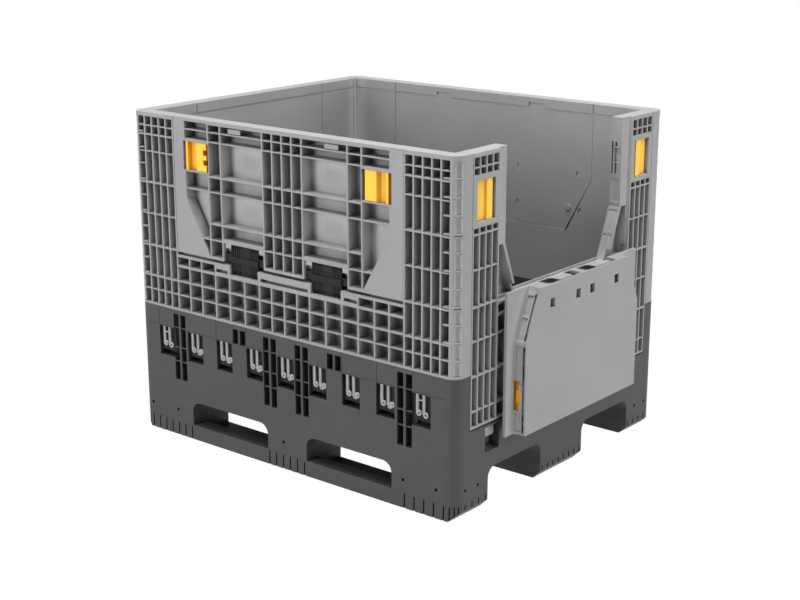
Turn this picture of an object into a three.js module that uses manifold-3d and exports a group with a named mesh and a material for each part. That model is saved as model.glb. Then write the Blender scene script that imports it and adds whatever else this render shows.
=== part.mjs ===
// A collapsible pallet box: a base tray on three skids, two long walls, two end walls that fold
// inwards, and a drop-down door in each wall. Millimetres. X runs along the long side, Y along
// the short side, +Z is up, and the origin is the middle of the ground face.

import * as THREE from 'three';
import { mergeVertices } from 'three/addons/utils/BufferGeometryUtils.js';
import Module from 'manifold-3d';

// Whole box
const boxLength = 1200;
const boxWidth = 1000;
const boxHeight = 975;
const cornerRadius = 32;
const arcSteps = 4;
const pastFace = 2;

// Clearances
const seatGap = 0.3;
const pinClearance = 0.3;
const sideClearance = 1;
const slideClearance = 0.4;
const wallSeam = 2;
const doorSeam = 1.5;

// Base tray and skids
const baseTop = 395;
const endPanelTop = 240;
const deckTop = 165;
const sideForkTop = 120;
const endForkTop = 114;
const forkCornerRadius = 30;
const skidHeight = 46;
const skidRailWidth = 50;
const skidPlateThickness = 15;
const skidEndChamfer = 24;
const baseSideThickness = 45;
const baseEndThickness = 34;
const baseSkin = 8;
const sideFootWidth = 215;
const middleFootLength = 150;
const outerSkidWidth = 145;
const middleSkidWidth = 210;

// Hinge windows and vent slots in the long sides of the base
const longWindowCount = 9;
const longWindowPitch = 121.5;
const windowWidth = 64;
const windowBottom = 245;
const windowTop = 335;
const ventWidth = 21;
const ventSpacing = 29;
const ventDepth = 26;
const ventTop = 382;
const tallVentBottom = 178;
const shortVentBottom = 338;
const tallVentPlaces = [-430, -61, 61, 430];
const shortVentPlaces = [-182, 182];

// Walls
const wallThickness = 45;
const innerSkin = 5;
const ribWidth = 5;
const rimHeight = 9;
const cornerReturn = 61;
const finDepth = 8;
const finThickness = 5;
const finRows = [baseTop + 4, 579, 769, boxHeight - 13];

// Hinge arms of the long walls, which hang in the base windows
const armWidth = 40;
const armDepth = 20;
const armBottom = 262;

// Hinges of the end walls
const endHingePlaces = [-339, -120, 120, 339];
const endHingeHeight = 205;
const endHingeDepth = 23;
const endWindowBottom = 162;
const endWindowTop = 232;
const barrelRadius = 11;
const barrelLength = 44;
const hingePinRadius = 5;
const roundSides = 8;

// Doors
const skinThickness = 8;
const doorInset = 0.5;
const doorInnerInset = 1;
const sillTop = 568;
const doorBottom = sillTop + 9;
const sillCellTop = sillTop - ribWidth;
const sillCellFloor = sillTop - 34;
const sillGroove = [sillTop - 27, sillTop - 17];
const sillGrooveDepth = 18;
const belowSill = sillTop - 36;
const swingReliefDepth = 20;
const swingReliefTop = sillTop + 32;
const doorFlange = 40;
const rimBottom = boxHeight - rimHeight;

// Door hinge links, each with a lower pivot in the wall and an upper pivot in the door
const linkSpacing = 60;
const linkLowerPivot = sillTop - 12;
const linkUpperPivot = linkLowerPivot + linkSpacing;
const linkPivotDepth = 20;
const linkRadius = 13;
const linkWidth = 108;
const linkPinRadius = 6;
const linkPinLength = 7;
const stubLength = 24;
const stubDepth = [8, 32];
const stubHeight = [linkUpperPivot - 36, linkUpperPivot - 14];
const stubSwingDepth = 8;
const aboveHinge = linkUpperPivot + 24;

// Latches
const latchThickness = 22;
const latchFrame = 9;
const latchGripDepth = 14;
const latchTravelOut = 8;
const latchTravelIn = 8;
const boltWidth = 34;
const boltDepth = [14, 30];
const strikeClearance = 3;
const doorLatchSetIn = doorFlange + 7;
const doorLatchBelowTop = 67;
const doorLatchHeight = 82;
const longLatchWidth = 83;
const shortLatchWidth = 64;
const wallLatchSetIn = 27;
const wallLatchBelowTop = 72;
const wallLatchHeight = 106;
const wallLatchWidth = 60;

// Jambs, from the edge of a wall to the edge of its door
const longJamb = 176;
const shortJamb = 116;
const longDoorHalf = boxLength / 2 - longJamb;
const shortWallHalf = boxWidth / 2 - cornerReturn - wallSeam;
const shortDoorHalf = shortWallHalf - shortJamb;
const longHingePlace = longDoorHalf - 269;
const shortHingePlace = 92;

const longLatch = latchAt(
  longDoorHalf - doorLatchSetIn,
  longLatchWidth,
  doorLatchBelowTop,
  doorLatchHeight,
);
const shortLatch = latchAt(
  shortDoorHalf - doorLatchSetIn,
  shortLatchWidth,
  doorLatchBelowTop,
  doorLatchHeight,
);
const wallLatch = latchAt(
  shortWallHalf - wallLatchSetIn,
  wallLatchWidth,
  wallLatchBelowTop,
  wallLatchHeight,
);
const longSillCells = [-154, -97, -47, 4].map((past) => longDoorHalf + past);
const shortSillCells = [-105, -51, 3].map((past) => shortDoorHalf + past);
const longRibShares = [0, 0.178, 0.352, 0.57, 0.789];
const shortRibShares = [0, 0.25, 0.5, 0.75];

const longSide = {
  half: boxLength / 2,
  bottom: baseTop + seatGap,
  columns: 5,
  rows: [baseTop + 4, 486, 579, 769, boxHeight - 64, rimBottom],
  doorHalf: longDoorHalf,
  bodyBottomHalf: longDoorHalf - doorFlange - 89,
  kinkHeight: boxHeight - 233,
  lowerRibs: [...longRibShares.map((share) => share * longSillCells[0]), ...longSillCells],
  lowerRows: [baseTop + 4, belowSill - 45, belowSill],
  sillCells: longSillCells,
  sillGrooves: [[-90, 90], [longHingePlace + 65, longSillCells[0] - 3]],
  doorRibs: [0, 36, 73],
  hingeRibs: [73, longLatch.from - 58],
  outerRibs: [longLatch.from - 58, longLatch.from - 9],
  doorRows: [doorBottom + ribWidth, 680, 816, rimBottom],
  hingePlaces: [-longHingePlace, longHingePlace],
  latch: longLatch,
};

const shortSide = {
  half: shortWallHalf,
  bottom: endPanelTop + 4,
  columns: 4,
  rows: [endPanelTop + 7, 387, 574, 765, boxHeight - 62, rimBottom],
  doorHalf: shortDoorHalf,
  bodyBottomHalf: shortDoorHalf - doorFlange - 60,
  kinkHeight: boxHeight - 258,
  lowerRibs: [...shortRibShares.map((share) => share * shortSillCells[0]), ...shortSillCells],
  lowerRows: [endPanelTop + 7, 387, belowSill],
  sillCells: shortSillCells,
  sillGrooves: [[-26, 26], [shortHingePlace + 66, shortSillCells[0] - 3]],
  doorRibs: [-26, 0, 26],
  hingeRibs: [26, shortLatch.from - 52],
  outerRibs: [shortLatch.from - 52, shortLatch.from - 10],
  doorRows: [doorBottom + ribWidth, 680, 816, rimBottom],
  hingePlaces: [-shortHingePlace, shortHingePlace],
  latch: shortLatch,
  wallLatch,
};

const wasm = await Module();
wasm.setup();

const darkGrey = () => new THREE.MeshStandardMaterial({ color: 0x4f5052, roughness: 0.55, metalness: 0 });
const lightGrey = () => new THREE.MeshStandardMaterial({ color: 0xa6a7a8, roughness: 0.5, metalness: 0 });
const yellow = () => new THREE.MeshStandardMaterial({ color: 0xf0ae2c, roughness: 0.42, metalness: 0 });
const black = () => new THREE.MeshStandardMaterial({ color: 0x262729, roughness: 0.5, metalness: 0 });

// The place of a latch plate, from its outer edge and the height of its top below the rim.
function latchAt(outer, width, belowTop, height) {
  const high = boxHeight - belowTop;
  return { from: outer - width, to: outer, low: high - height, high };
}

function solidOf(geometry) {
  geometry.deleteAttribute('normal');
  geometry.deleteAttribute('uv');
  const merged = mergeVertices(geometry, 1e-3);
  return new wasm.Manifold(new wasm.Mesh({
    numProp: 3,
    vertProperties: new Float32Array(merged.attributes.position.array),
    triVerts: new Uint32Array(merged.index.array),
  }));
}

function block([x0, x1], [y0, y1], [z0, z1]) {
  const geometry = new THREE.BoxGeometry(x1 - x0, y1 - y0, z1 - z0);
  geometry.translate((x0 + x1) / 2, (y0 + y1) / 2, (z0 + z1) / 2);
  return solidOf(geometry);
}

function shapeOf(points) {
  return new THREE.Shape(points.map(([a, b]) => new THREE.Vector2(a, b)));
}

// An outline in X and Z, extruded along Y.
function facePrism(points, [y0, y1]) {
  const geometry = new THREE.ExtrudeGeometry(shapeOf(points), { depth: y1 - y0, bevelEnabled: false });
  geometry.rotateX(Math.PI / 2);
  geometry.translate(0, y1, 0);
  return solidOf(geometry);
}

// An outline in X and Y, extruded along Z.
function planPrism(points, [z0, z1]) {
  const geometry = new THREE.ExtrudeGeometry(shapeOf(points), { depth: z1 - z0, bevelEnabled: false });
  geometry.translate(0, 0, z0);
  return solidOf(geometry);
}

// An outline in Y and Z, extruded along X.
function sidePrism(points, [x0, x1]) {
  const flipped = points.map(([y, z]) => [-y, z]);
  const geometry = new THREE.ExtrudeGeometry(shapeOf(flipped), { depth: x1 - x0, bevelEnabled: false });
  geometry.rotateX(Math.PI / 2);
  geometry.rotateZ(Math.PI / 2);
  geometry.translate(x0, 0, 0);
  return solidOf(geometry);
}

// A round bar along X.
function barAlongX([x0, x1], y, z, radius) {
  const geometry = new THREE.CylinderGeometry(radius, radius, x1 - x0, roundSides);
  geometry.rotateZ(Math.PI / 2);
  geometry.translate((x0 + x1) / 2, y, z);
  return solidOf(geometry);
}

function joined(solids) {
  return solids.reduce((whole, piece) => whole.add(piece));
}

function turned(solid, place, angle) {
  return solid.rotate([0, 0, angle]).translate(place);
}

// The points of a quarter arc about a centre, from one angle to another, in degrees.
function arc(centreA, centreB, radius, from, to) {
  const points = [];
  for (let step = 0; step <= arcSteps; step += 1) {
    const angle = THREE.MathUtils.degToRad(from + ((to - from) * step) / arcSteps);
    points.push([centreA + radius * Math.cos(angle), centreB + radius * Math.sin(angle)]);
  }
  return points;
}

function roundedRectangle(halfA, halfB, radius) {
  const a = halfA - radius;
  const b = halfB - radius;
  return [
    ...arc(a, b, radius, 0, 90),
    ...arc(-a, b, radius, 90, 180),
    ...arc(-a, -b, radius, 180, 270),
    ...arc(a, -b, radius, 270, 360),
  ];
}

// An opening with a flat floor and two rounded upper corners.
function archOutline(low, high, floor, top, radius) {
  return [
    [low, floor],
    [high, floor],
    ...arc(high - radius, top - radius, radius, 0, 90),
    ...arc(low + radius, top - radius, radius, 90, 180),
  ];
}

function mirroredPair(low, high) {
  return [[low, high], [-high, -low]];
}

// Blind pockets between the ribs of a lattice, open at the outer face.
function pockets(ribLines, rowLines, depth) {
  const cells = [];
  for (let column = 1; column < ribLines.length; column += 1) {
    for (let row = 1; row < rowLines.length; row += 1) {
      cells.push(block(
        [ribLines[column - 1] + ribWidth / 2, ribLines[column] - ribWidth / 2],
        [-pastFace, depth],
        [rowLines[row - 1] + ribWidth / 2, rowLines[row] - ribWidth / 2],
      ));
    }
  }
  return joined(cells);
}

function evenSteps(from, to, count) {
  return Array.from({ length: count + 1 }, (_, step) => from + ((to - from) * step) / count);
}

function bothSigns(lines) {
  return [...new Set([...lines.map((line) => -line), ...lines])].sort((a, b) => a - b);
}

const pocketDepth = wallThickness - innerSkin;
const doorFace = [doorInset, wallThickness - doorInnerInset];
const looseBoreRadius = (radius) => (radius + pinClearance) / Math.cos(Math.PI / roundSides);

function doorBodyOutline(side, grow) {
  const half = side.doorHalf - doorFlange + grow;
  const bottomHalf = side.bodyBottomHalf + grow;
  const bottom = grow > 0 ? sillTop : doorBottom;
  const top = grow > 0 ? boxHeight + pastFace : boxHeight;
  return [
    [-bottomHalf, bottom],
    [bottomHalf, bottom],
    [half, side.kinkHeight],
    [half, top],
    [-half, top],
    [-half, side.kinkHeight],
  ];
}

function doorOpening(side) {
  const half = side.doorHalf + doorSeam;
  const top = boxHeight + pastFace;
  const rebateDepth = doorInset + skinThickness + doorInset;
  const rebate = block([-half, half], [-pastFace, rebateDepth], [sillTop, top]);
  const swingRelief = block([-half, half], [-pastFace, swingReliefDepth], [sillTop, swingReliefTop]);
  const through = facePrism(doorBodyOutline(side, doorSeam), [-pastFace, wallThickness + pastFace]);
  return joined([rebate, swingRelief, through]);
}

// The room that the door's hinge links need around one of their pivots.
function linkRoom(side, [low, high]) {
  const halfWidth = linkWidth / 2 + sideClearance;
  const depth = linkPivotDepth + linkRadius + pastFace;
  return joined(side.hingePlaces.map((place) => (
    block([place - halfWidth, place + halfWidth], [-pastFace, depth], [low, high])
  )));
}

// The room in a door for the stubs at the sides of its hinge links.
function stubRoom(side) {
  const reach = linkWidth / 2 + stubLength + sideClearance;
  const depth = linkPivotDepth + linkRadius + pastFace;
  return joined(side.hingePlaces.flatMap((place) => {
    const x = [place - reach, place + reach];
    return [
      block(x, [-pastFace, depth], [doorBottom - pastFace, stubHeight[1] + sideClearance]),
      block(x, [-pastFace, linkPivotDepth], [doorBottom, linkUpperPivot]),
      block(x, [-pastFace, stubSwingDepth], [doorBottom, linkUpperPivot + linkRadius + pastFace]),
    ];
  }));
}

function linkBores(side, height) {
  const reach = linkWidth / 2 + linkPinLength + sideClearance;
  return joined(side.hingePlaces.map((place) => (
    barAlongX([place - reach, place + reach], linkPivotDepth, height, looseBoreRadius(linkPinRadius))
  )));
}

function strikePockets(edge, latch) {
  const middle = (latch.low + latch.high) / 2;
  const halfWidth = boltWidth / 2 + strikeClearance;
  const depth = [boltDepth[0] - strikeClearance, boltDepth[1] + strikeClearance];
  const reach = latchTravelOut + strikeClearance;
  return joined(mirroredPair(edge, edge + reach).map((x) => (
    block(x, depth, [middle - halfWidth, middle + halfWidth])
  )));
}

function bothEnds(solid) {
  return solid.add(solid.mirror([1, 0, 0]));
}

function sideLattice(side) {
  const inner = side.doorHalf + doorSeam + ribWidth / 2;
  const outer = side.latticeEnd ?? side.half - ribWidth / 2;
  const ribs = evenSteps(inner, outer, side.columns);
  return bothEnds(pockets(ribs, side.rows, pocketDepth));
}

// All the pockets of a wall's outer face, with the grooves and cells of its sill.
function wallPockets(side) {
  const grooves = side.sillGrooves.map((x) => bothEnds(block(x, [-pastFace, sillGrooveDepth], sillGroove)));
  return joined([
    sideLattice(side),
    pockets(bothSigns(side.lowerRibs), side.lowerRows, pocketDepth),
    bothEnds(pockets(side.sillCells, [sillCellFloor, sillCellTop], pocketDepth)),
    bothEnds(gussetPocket(side)),
    ...grooves,
  ]);
}

// The triangular pocket behind a door's corner plate, beside the slanted jamb.
function gussetPocket(side) {
  const outer = side.doorHalf - ribWidth / 2;
  const bottomHalf = side.bodyBottomHalf + doorSeam;
  const half = side.doorHalf - doorFlange + doorSeam;
  const low = sillTop + ribWidth;
  const slope = (half - bottomHalf) / (side.kinkHeight - sillTop);
  const jambWidth = 2 * ribWidth;
  return facePrism([
    [bottomHalf + (low - sillTop) * slope + jambWidth, low],
    [outer, low],
    [outer, side.kinkHeight],
    [half + jambWidth, side.kinkHeight],
  ], [-pastFace, pocketDepth]);
}

// The room in a wall, or in a door, that its latch slides in, with the slot for the bolt.
function latchRoom(latch, edge) {
  const room = [latch.from - latchTravelIn - sideClearance, latch.to + latchTravelOut + sideClearance];
  const height = [latch.low - slideClearance, latch.high + slideClearance];
  const roomDepth = latchThickness + slideClearance;
  const middle = (latch.low + latch.high) / 2;
  const halfBolt = boltWidth / 2 + slideClearance;
  const boltSlotDepth = [boltDepth[0] - slideClearance, boltDepth[1] + slideClearance];
  const slot = [middle - halfBolt, middle + halfBolt];
  const slotStart = latch.to - latchFrame - latchTravelIn - sideClearance;
  return joined([
    ...mirroredPair(...room).map((x) => block(x, [-pastFace, roomDepth], height)),
    ...mirroredPair(slotStart, edge + pastFace).map((x) => block(x, boltSlotDepth, slot)),
  ]);
}

function latchSolid(latch, edge) {
  const plate = block([latch.from, latch.to], [doorInset, latchThickness], [latch.low, latch.high]);
  const grip = block(
    [latch.from + latchFrame, latch.to - latchFrame],
    [-pastFace, latchGripDepth],
    [latch.low + latchFrame, latch.high - latchFrame],
  );
  const middle = (latch.low + latch.high) / 2;
  const bolt = block(
    [latch.to - latchFrame, edge - seatGap],
    boltDepth,
    [middle - boltWidth / 2, middle + boltWidth / 2],
  );
  return plate.subtract(grip).add(bolt);
}

function doorSolid(side) {
  const body = facePrism(doorBodyOutline(side, 0), doorFace);
  const skin = block(
    [-side.doorHalf, side.doorHalf],
    [doorInset, doorInset + skinThickness],
    [doorBottom, boxHeight],
  );
  const bodyHalf = side.doorHalf - doorFlange;
  const hingeRows = [aboveHinge, ...side.doorRows.slice(1)];
  const lattice = joined([
    pockets(bothSigns(side.doorRibs), side.doorRows, pocketDepth),
    bothEnds(pockets(side.hingeRibs, hingeRows, pocketDepth)),
    bothEnds(pockets(side.outerRibs, side.doorRows, pocketDepth)),
  ]);
  const lastRib = side.outerRibs[1] + ribWidth / 2;
  const outerEdge = bodyHalf - ribWidth;
  const slope = (side.kinkHeight - doorBottom) / (bodyHalf - side.bodyBottomHalf);
  const tipHeight = side.kinkHeight - (outerEdge - lastRib) * slope;
  const besideLatch = facePrism([
    [lastRib, Math.max(tipHeight, doorBottom + ribWidth)],
    [outerEdge, side.kinkHeight],
    [outerEdge, side.latch.low - ribWidth],
    [lastRib, side.latch.low - ribWidth],
  ], [-pastFace, pocketDepth]);
  const aboveLatch = block(
    [lastRib, outerEdge],
    [-pastFace, pocketDepth],
    [side.latch.high + ribWidth, rimBottom],
  );
  return joined([body, skin])
    .subtract(joined([lattice, bothEnds(besideLatch), bothEnds(aboveLatch)]))
    .subtract(stubRoom(side))
    .subtract(linkRoom(side, [doorBottom - pastFace, linkUpperPivot + linkRadius + pastFace]))
    .subtract(linkBores(side, linkUpperPivot))
    .subtract(latchRoom(side.latch, bodyHalf));
}

// A link runs from the lower pivot, at the origin, up to the upper pivot.
function linkSolid(place) {
  const x = [place - linkWidth / 2, place + linkWidth / 2];
  const pin = [x[0] - linkPinLength, x[1] + linkPinLength];
  const stub = [x[0] - stubLength, x[1] + stubLength];
  const stubAcross = stubDepth.map((depth) => depth - linkPivotDepth);
  const stubUp = stubHeight.map((height) => height - linkLowerPivot);
  const section = [
    ...arc(0, linkSpacing, linkRadius, 180, 0),
    ...arc(0, 0, linkRadius, 0, -180),
  ];
  return joined([
    sidePrism(section, x),
    block(stub, stubAcross, stubUp),
    barAlongX(pin, 0, 0, linkPinRadius),
    barAlongX(pin, 0, linkSpacing, linkPinRadius),
  ]);
}

// Recesses around a rounded corner post, which leave thin fins between them.
function cornerRecesses(side) {
  const centre = [side.half - cornerRadius, cornerRadius];
  const coreRadius = cornerRadius - finDepth;
  const reach = [centre[0] + coreRadius * Math.SQRT1_2, side.half + pastFace];
  const back = [-pastFace, centre[1] - coreRadius * Math.SQRT1_2 + finDepth];
  const recesses = [];
  for (let row = 1; row < finRows.length; row += 1) {
    const z = [finRows[row - 1] + finThickness / 2, finRows[row] - finThickness / 2];
    const core = planPrism(
      [...arc(centre[0], centre[1], coreRadius, -90, 0), [centre[0], centre[1]]],
      [z[0] - pastFace, z[1] + pastFace],
    );
    recesses.push(block(reach, back, z).subtract(core));
  }
  return joined(recesses);
}

function longWall() {
  const side = { ...longSide, latticeEnd: longSide.half - cornerRadius + finDepth };
  const plan = [
    ...arc(side.half - cornerRadius, cornerRadius, cornerRadius, -90, 0),
    [side.half, cornerReturn],
    [side.half - wallThickness, cornerReturn],
    [side.half - wallThickness, wallThickness],
    [-side.half + wallThickness, wallThickness],
    [-side.half + wallThickness, cornerReturn],
    [-side.half, cornerReturn],
    ...arc(-side.half + cornerRadius, cornerRadius, cornerRadius, 180, 270),
  ];
  const shell = planPrism(plan, [side.bottom, boxHeight]);
  const recesses = cornerRecesses(side);
  const arms = [];
  for (let index = 0; index < longWindowCount; index += 1) {
    const place = (index - (longWindowCount - 1) / 2) * longWindowPitch;
    arms.push(block(
      [place - armWidth / 2, place + armWidth / 2],
      [baseSkin + pastFace, baseSkin + pastFace + armDepth],
      [armBottom, side.bottom + ribWidth / 2],
    ));
  }
  const bodyHalf = side.doorHalf - doorFlange;
  return shell
    .subtract(wallPockets(side))
    .subtract(recesses)
    .subtract(recesses.mirror([1, 0, 0]))
    .subtract(doorOpening(side))
    .subtract(linkRoom(side, [linkLowerPivot - linkRadius - pastFace, sillTop + pastFace]))
    .subtract(linkBores(side, linkLowerPivot))
    .subtract(strikePockets(bodyHalf + seatGap, side.latch))
    .subtract(endWallStrikes(side))
    .add(joined(arms));
}

// The pockets in a corner return that take the bolts of the end walls' latches.
function endWallStrikes(side) {
  const latch = shortSide.wallLatch;
  const middle = (latch.low + latch.high) / 2;
  const halfWidth = boltWidth / 2 + strikeClearance;
  const depth = [boltDepth[0] - strikeClearance, boltDepth[1] + strikeClearance];
  const reach = [cornerReturn - latchTravelOut - strikeClearance, cornerReturn + pastFace];
  return joined(mirroredPair(side.half - depth[1], side.half - depth[0]).map((x) => (
    block(x, reach, [middle - halfWidth, middle + halfWidth])
  )));
}

function endWall() {
  const side = shortSide;
  const shell = block([-side.half, side.half], [0, wallThickness], [side.bottom, boxHeight]);
  const latchBay = [side.wallLatch.low - 3 * ribWidth, side.wallLatch.high + 3 * ribWidth];
  const bayFill = joined(mirroredPair(side.doorHalf + doorSeam, side.half).map((x) => (
    block(x, [0, wallThickness], latchBay)
  )));
  const bodyHalf = side.doorHalf - doorFlange;
  const knuckles = joined(endHingePlaces.map((place) => {
    const x = [place - barrelLength / 2, place + barrelLength / 2];
    const depth = [endHingeDepth - barrelRadius, endHingeDepth + barrelRadius];
    return joined([
      block(x, depth, [endHingeHeight, side.bottom + ribWidth / 2]),
      barAlongX(x, endHingeDepth, endHingeHeight, barrelRadius),
    ]);
  }));
  const bores = joined(endHingePlaces.map((place) => barAlongX(
    [place - barrelLength, place + barrelLength],
    endHingeDepth,
    endHingeHeight,
    looseBoreRadius(hingePinRadius),
  )));
  return shell
    .subtract(wallPockets(side))
    .add(bayFill)
    .subtract(doorOpening(side))
    .subtract(linkRoom(side, [linkLowerPivot - linkRadius - pastFace, sillTop + pastFace]))
    .subtract(linkBores(side, linkLowerPivot))
    .subtract(strikePockets(bodyHalf + seatGap, side.latch))
    .subtract(latchRoom(side.wallLatch, side.half))
    .add(knuckles)
    .subtract(bores);
}

// Windows and vents in a long side of the base, in that side's own frame.
function longSideCuts() {
  const windows = [];
  for (let index = 0; index < longWindowCount; index += 1) {
    const place = (index - (longWindowCount - 1) / 2) * longWindowPitch;
    const x = [place - windowWidth / 2, place + windowWidth / 2];
    const inner = baseSideThickness - baseSkin;
    windows.push(block(x, [-pastFace, inner], [windowBottom, windowTop]));
    windows.push(block(x, [baseSkin, inner], [windowTop - pastFace, baseTop + pastFace]));
  }
  const vent = (place, bottom) => [-1, 1].map((sign) => {
    const centre = place + (sign * ventSpacing) / 2;
    return block([centre - ventWidth / 2, centre + ventWidth / 2], [-pastFace, ventDepth], [bottom, ventTop]);
  });
  const tallVents = tallVentPlaces.flatMap((place) => vent(place, tallVentBottom));
  const shortVents = shortVentPlaces.flatMap((place) => vent(place, shortVentBottom));
  return joined([...windows, ...tallVents, ...shortVents]);
}

// Hinge bays in an end of the base, in that end's own frame.
function endSideCuts() {
  return joined(endHingePlaces.flatMap((place) => {
    const x = [place - windowWidth / 2, place + windowWidth / 2];
    return [
      block(x, [-pastFace, baseEndThickness + pastFace], [endWindowBottom, endWindowTop]),
      block(x, [baseSkin, baseEndThickness + pastFace], [endWindowBottom, endPanelTop + pastFace]),
    ];
  }));
}

function endHingePins() {
  const reach = windowWidth / 2 + pastFace;
  return joined(endHingePlaces.map((place) => barAlongX(
    [place - reach, place + reach],
    endHingeDepth,
    endHingeHeight,
    hingePinRadius,
  )));
}

function baseTray() {
  const halfX = boxLength / 2;
  const halfY = boxWidth / 2;
  const outline = roundedRectangle(halfX, halfY, cornerRadius);
  const feetBottom = skidHeight + seatGap;
  const insideHalfY = halfY - baseSideThickness;
  const notchHalf = halfY - cornerReturn;
  const cavity = joined([
    block(
      [-halfX + baseEndThickness, halfX - baseEndThickness],
      [-notchHalf, notchHalf],
      [deckTop, baseTop + pastFace],
    ),
    block(
      [-halfX + wallThickness, halfX - wallThickness],
      [-insideHalfY, insideHalfY],
      [deckTop, baseTop + pastFace],
    ),
    block(
      [-halfX - pastFace, halfX + pastFace],
      [-notchHalf, notchHalf],
      [endPanelTop, baseTop + pastFace],
    ),
  ]);
  const crossWays = mirroredPair(middleFootLength / 2, halfX - sideFootWidth);
  const crossTunnels = crossWays.map(([low, high]) => facePrism(
    archOutline(low, high, feetBottom - pastFace, sideForkTop, forkCornerRadius),
    [-halfY - pastFace, halfY + pastFace],
  ));
  const longTunnels = mirroredPair(middleSkidWidth / 2, halfY - outerSkidWidth).map(([low, high]) => turned(
    facePrism(
      archOutline(low, high, feetBottom - pastFace, endForkTop, forkCornerRadius),
      [-halfX - pastFace, halfX + pastFace],
    ),
    [0, 0, 0],
    90,
  ));
  const longCuts = longSideCuts();
  const endCuts = endSideCuts();
  const pins = endHingePins();
  return planPrism(outline, [feetBottom, baseTop])
    .subtract(cavity)
    .subtract(joined([...crossTunnels, ...longTunnels]))
    .subtract(turned(longCuts, [0, -halfY, 0], 0))
    .subtract(turned(longCuts, [0, halfY, 0], 180))
    .subtract(turned(endCuts, [halfX, 0, 0], 90))
    .subtract(turned(endCuts, [-halfX, 0, 0], -90))
    .add(turned(pins, [halfX, 0, 0], 90))
    .add(turned(pins, [-halfX, 0, 0], -90));
}

// A skid is a full block under its feet, and rails on a thin plate between them.
function skid(low, high, trough) {
  const halfX = boxLength / 2;
  const halfY = boxWidth / 2;
  const profile = [
    [-halfX + skidEndChamfer, 0],
    [halfX - skidEndChamfer, 0],
    [halfX, skidEndChamfer],
    [halfX, skidHeight],
    [-halfX, skidHeight],
    [-halfX, skidEndChamfer],
  ];
  const corners = planPrism(roundedRectangle(halfX, halfY, cornerRadius), [-pastFace, skidHeight + pastFace]);
  const troughs = mirroredPair(middleFootLength / 2, halfX - sideFootWidth).map((x) => (
    block(x, trough, [skidPlateThickness, skidHeight + pastFace])
  ));
  return facePrism(profile, [low, high]).intersect(corners).subtract(joined(troughs));
}

function meshOf(name, solid, material) {
  const { vertProperties, triVerts } = solid.getMesh();
  const geometry = new THREE.BufferGeometry();
  geometry.setAttribute('position', new THREE.BufferAttribute(vertProperties, 3));
  geometry.setIndex(new THREE.BufferAttribute(triVerts, 1));
  geometry.computeVertexNormals();
  const mesh = new THREE.Mesh(geometry, material);
  mesh.name = name;
  return mesh;
}

// A door on its two links, with its latches. The angle is how far each pivot has turned.
function doorAssembly(label, side, angle) {
  const links = new THREE.Group();
  links.position.set(0, linkPivotDepth, linkLowerPivot);
  links.rotation.x = angle;
  side.hingePlaces.forEach((place, index) => {
    links.add(meshOf(`${label}_door_hinge_${index + 1}`, linkSolid(place), black()));
  });
  const door = new THREE.Group();
  door.position.set(0, 0, linkSpacing);
  door.rotation.x = angle;
  const toPivot = [0, -linkPivotDepth, -linkUpperPivot];
  door.add(meshOf(`${label}_door`, doorSolid(side).translate(toPivot), lightGrey()));
  const latch = latchSolid(side.latch, side.doorHalf - doorFlange).translate(toPivot);
  door.add(meshOf(`${label}_door_latch_1`, latch.mirror([1, 0, 0]), yellow()));
  door.add(meshOf(`${label}_door_latch_2`, latch, yellow()));
  links.add(door);
  return links;
}

function placed(group, place, angle) {
  group.position.set(...place);
  group.rotation.z = THREE.MathUtils.degToRad(angle);
  return group;
}

function longWallAssembly(label, place, angle, doorAngle) {
  const group = new THREE.Group();
  group.add(meshOf(`${label}_wall`, longWall(), lightGrey()));
  group.add(doorAssembly(label, longSide, doorAngle));
  return placed(group, place, angle);
}

function endWallAssembly(label, place, angle, doorAngle) {
  const group = new THREE.Group();
  group.add(meshOf(`${label}_end_wall`, endWall(), lightGrey()));
  const latch = latchSolid(shortSide.wallLatch, shortSide.half);
  group.add(meshOf(`${label}_wall_latch_1`, latch.mirror([1, 0, 0]), yellow()));
  group.add(meshOf(`${label}_wall_latch_2`, latch, yellow()));
  group.add(doorAssembly(label, shortSide, doorAngle));
  return placed(group, place, angle);
}

const halfLength = boxLength / 2;
const halfWidth = boxWidth / 2;
const closed = 0;
const open = Math.PI / 2;

const palletBox = new THREE.Group();
palletBox.add(meshOf('base_tray', baseTray(), darkGrey()));
const skidPlaces = [
  ['front_skid', -halfWidth, outerSkidWidth, [skidRailWidth, outerSkidWidth + pastFace]],
  ['middle_skid', -middleSkidWidth / 2, middleSkidWidth, [skidRailWidth, middleSkidWidth - skidRailWidth]],
  ['back_skid', halfWidth - outerSkidWidth, outerSkidWidth, [-pastFace, outerSkidWidth - skidRailWidth]],
];
for (const [name, low, width, trough] of skidPlaces) {
  const solid = skid(low, low + width, trough.map((across) => low + across));
  palletBox.add(meshOf(name, solid, darkGrey()));
}
palletBox.add(longWallAssembly('front', [0, -halfWidth, 0], 0, closed));
palletBox.add(longWallAssembly('back', [0, halfWidth, 0], 180, closed));
palletBox.add(endWallAssembly('right', [halfLength, 0, 0], 90, open));
palletBox.add(endWallAssembly('left', [-halfLength, 0, 0], -90, closed));

export default palletBox;
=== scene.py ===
import math
import bpy
from mathutils import Matrix, Vector


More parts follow.
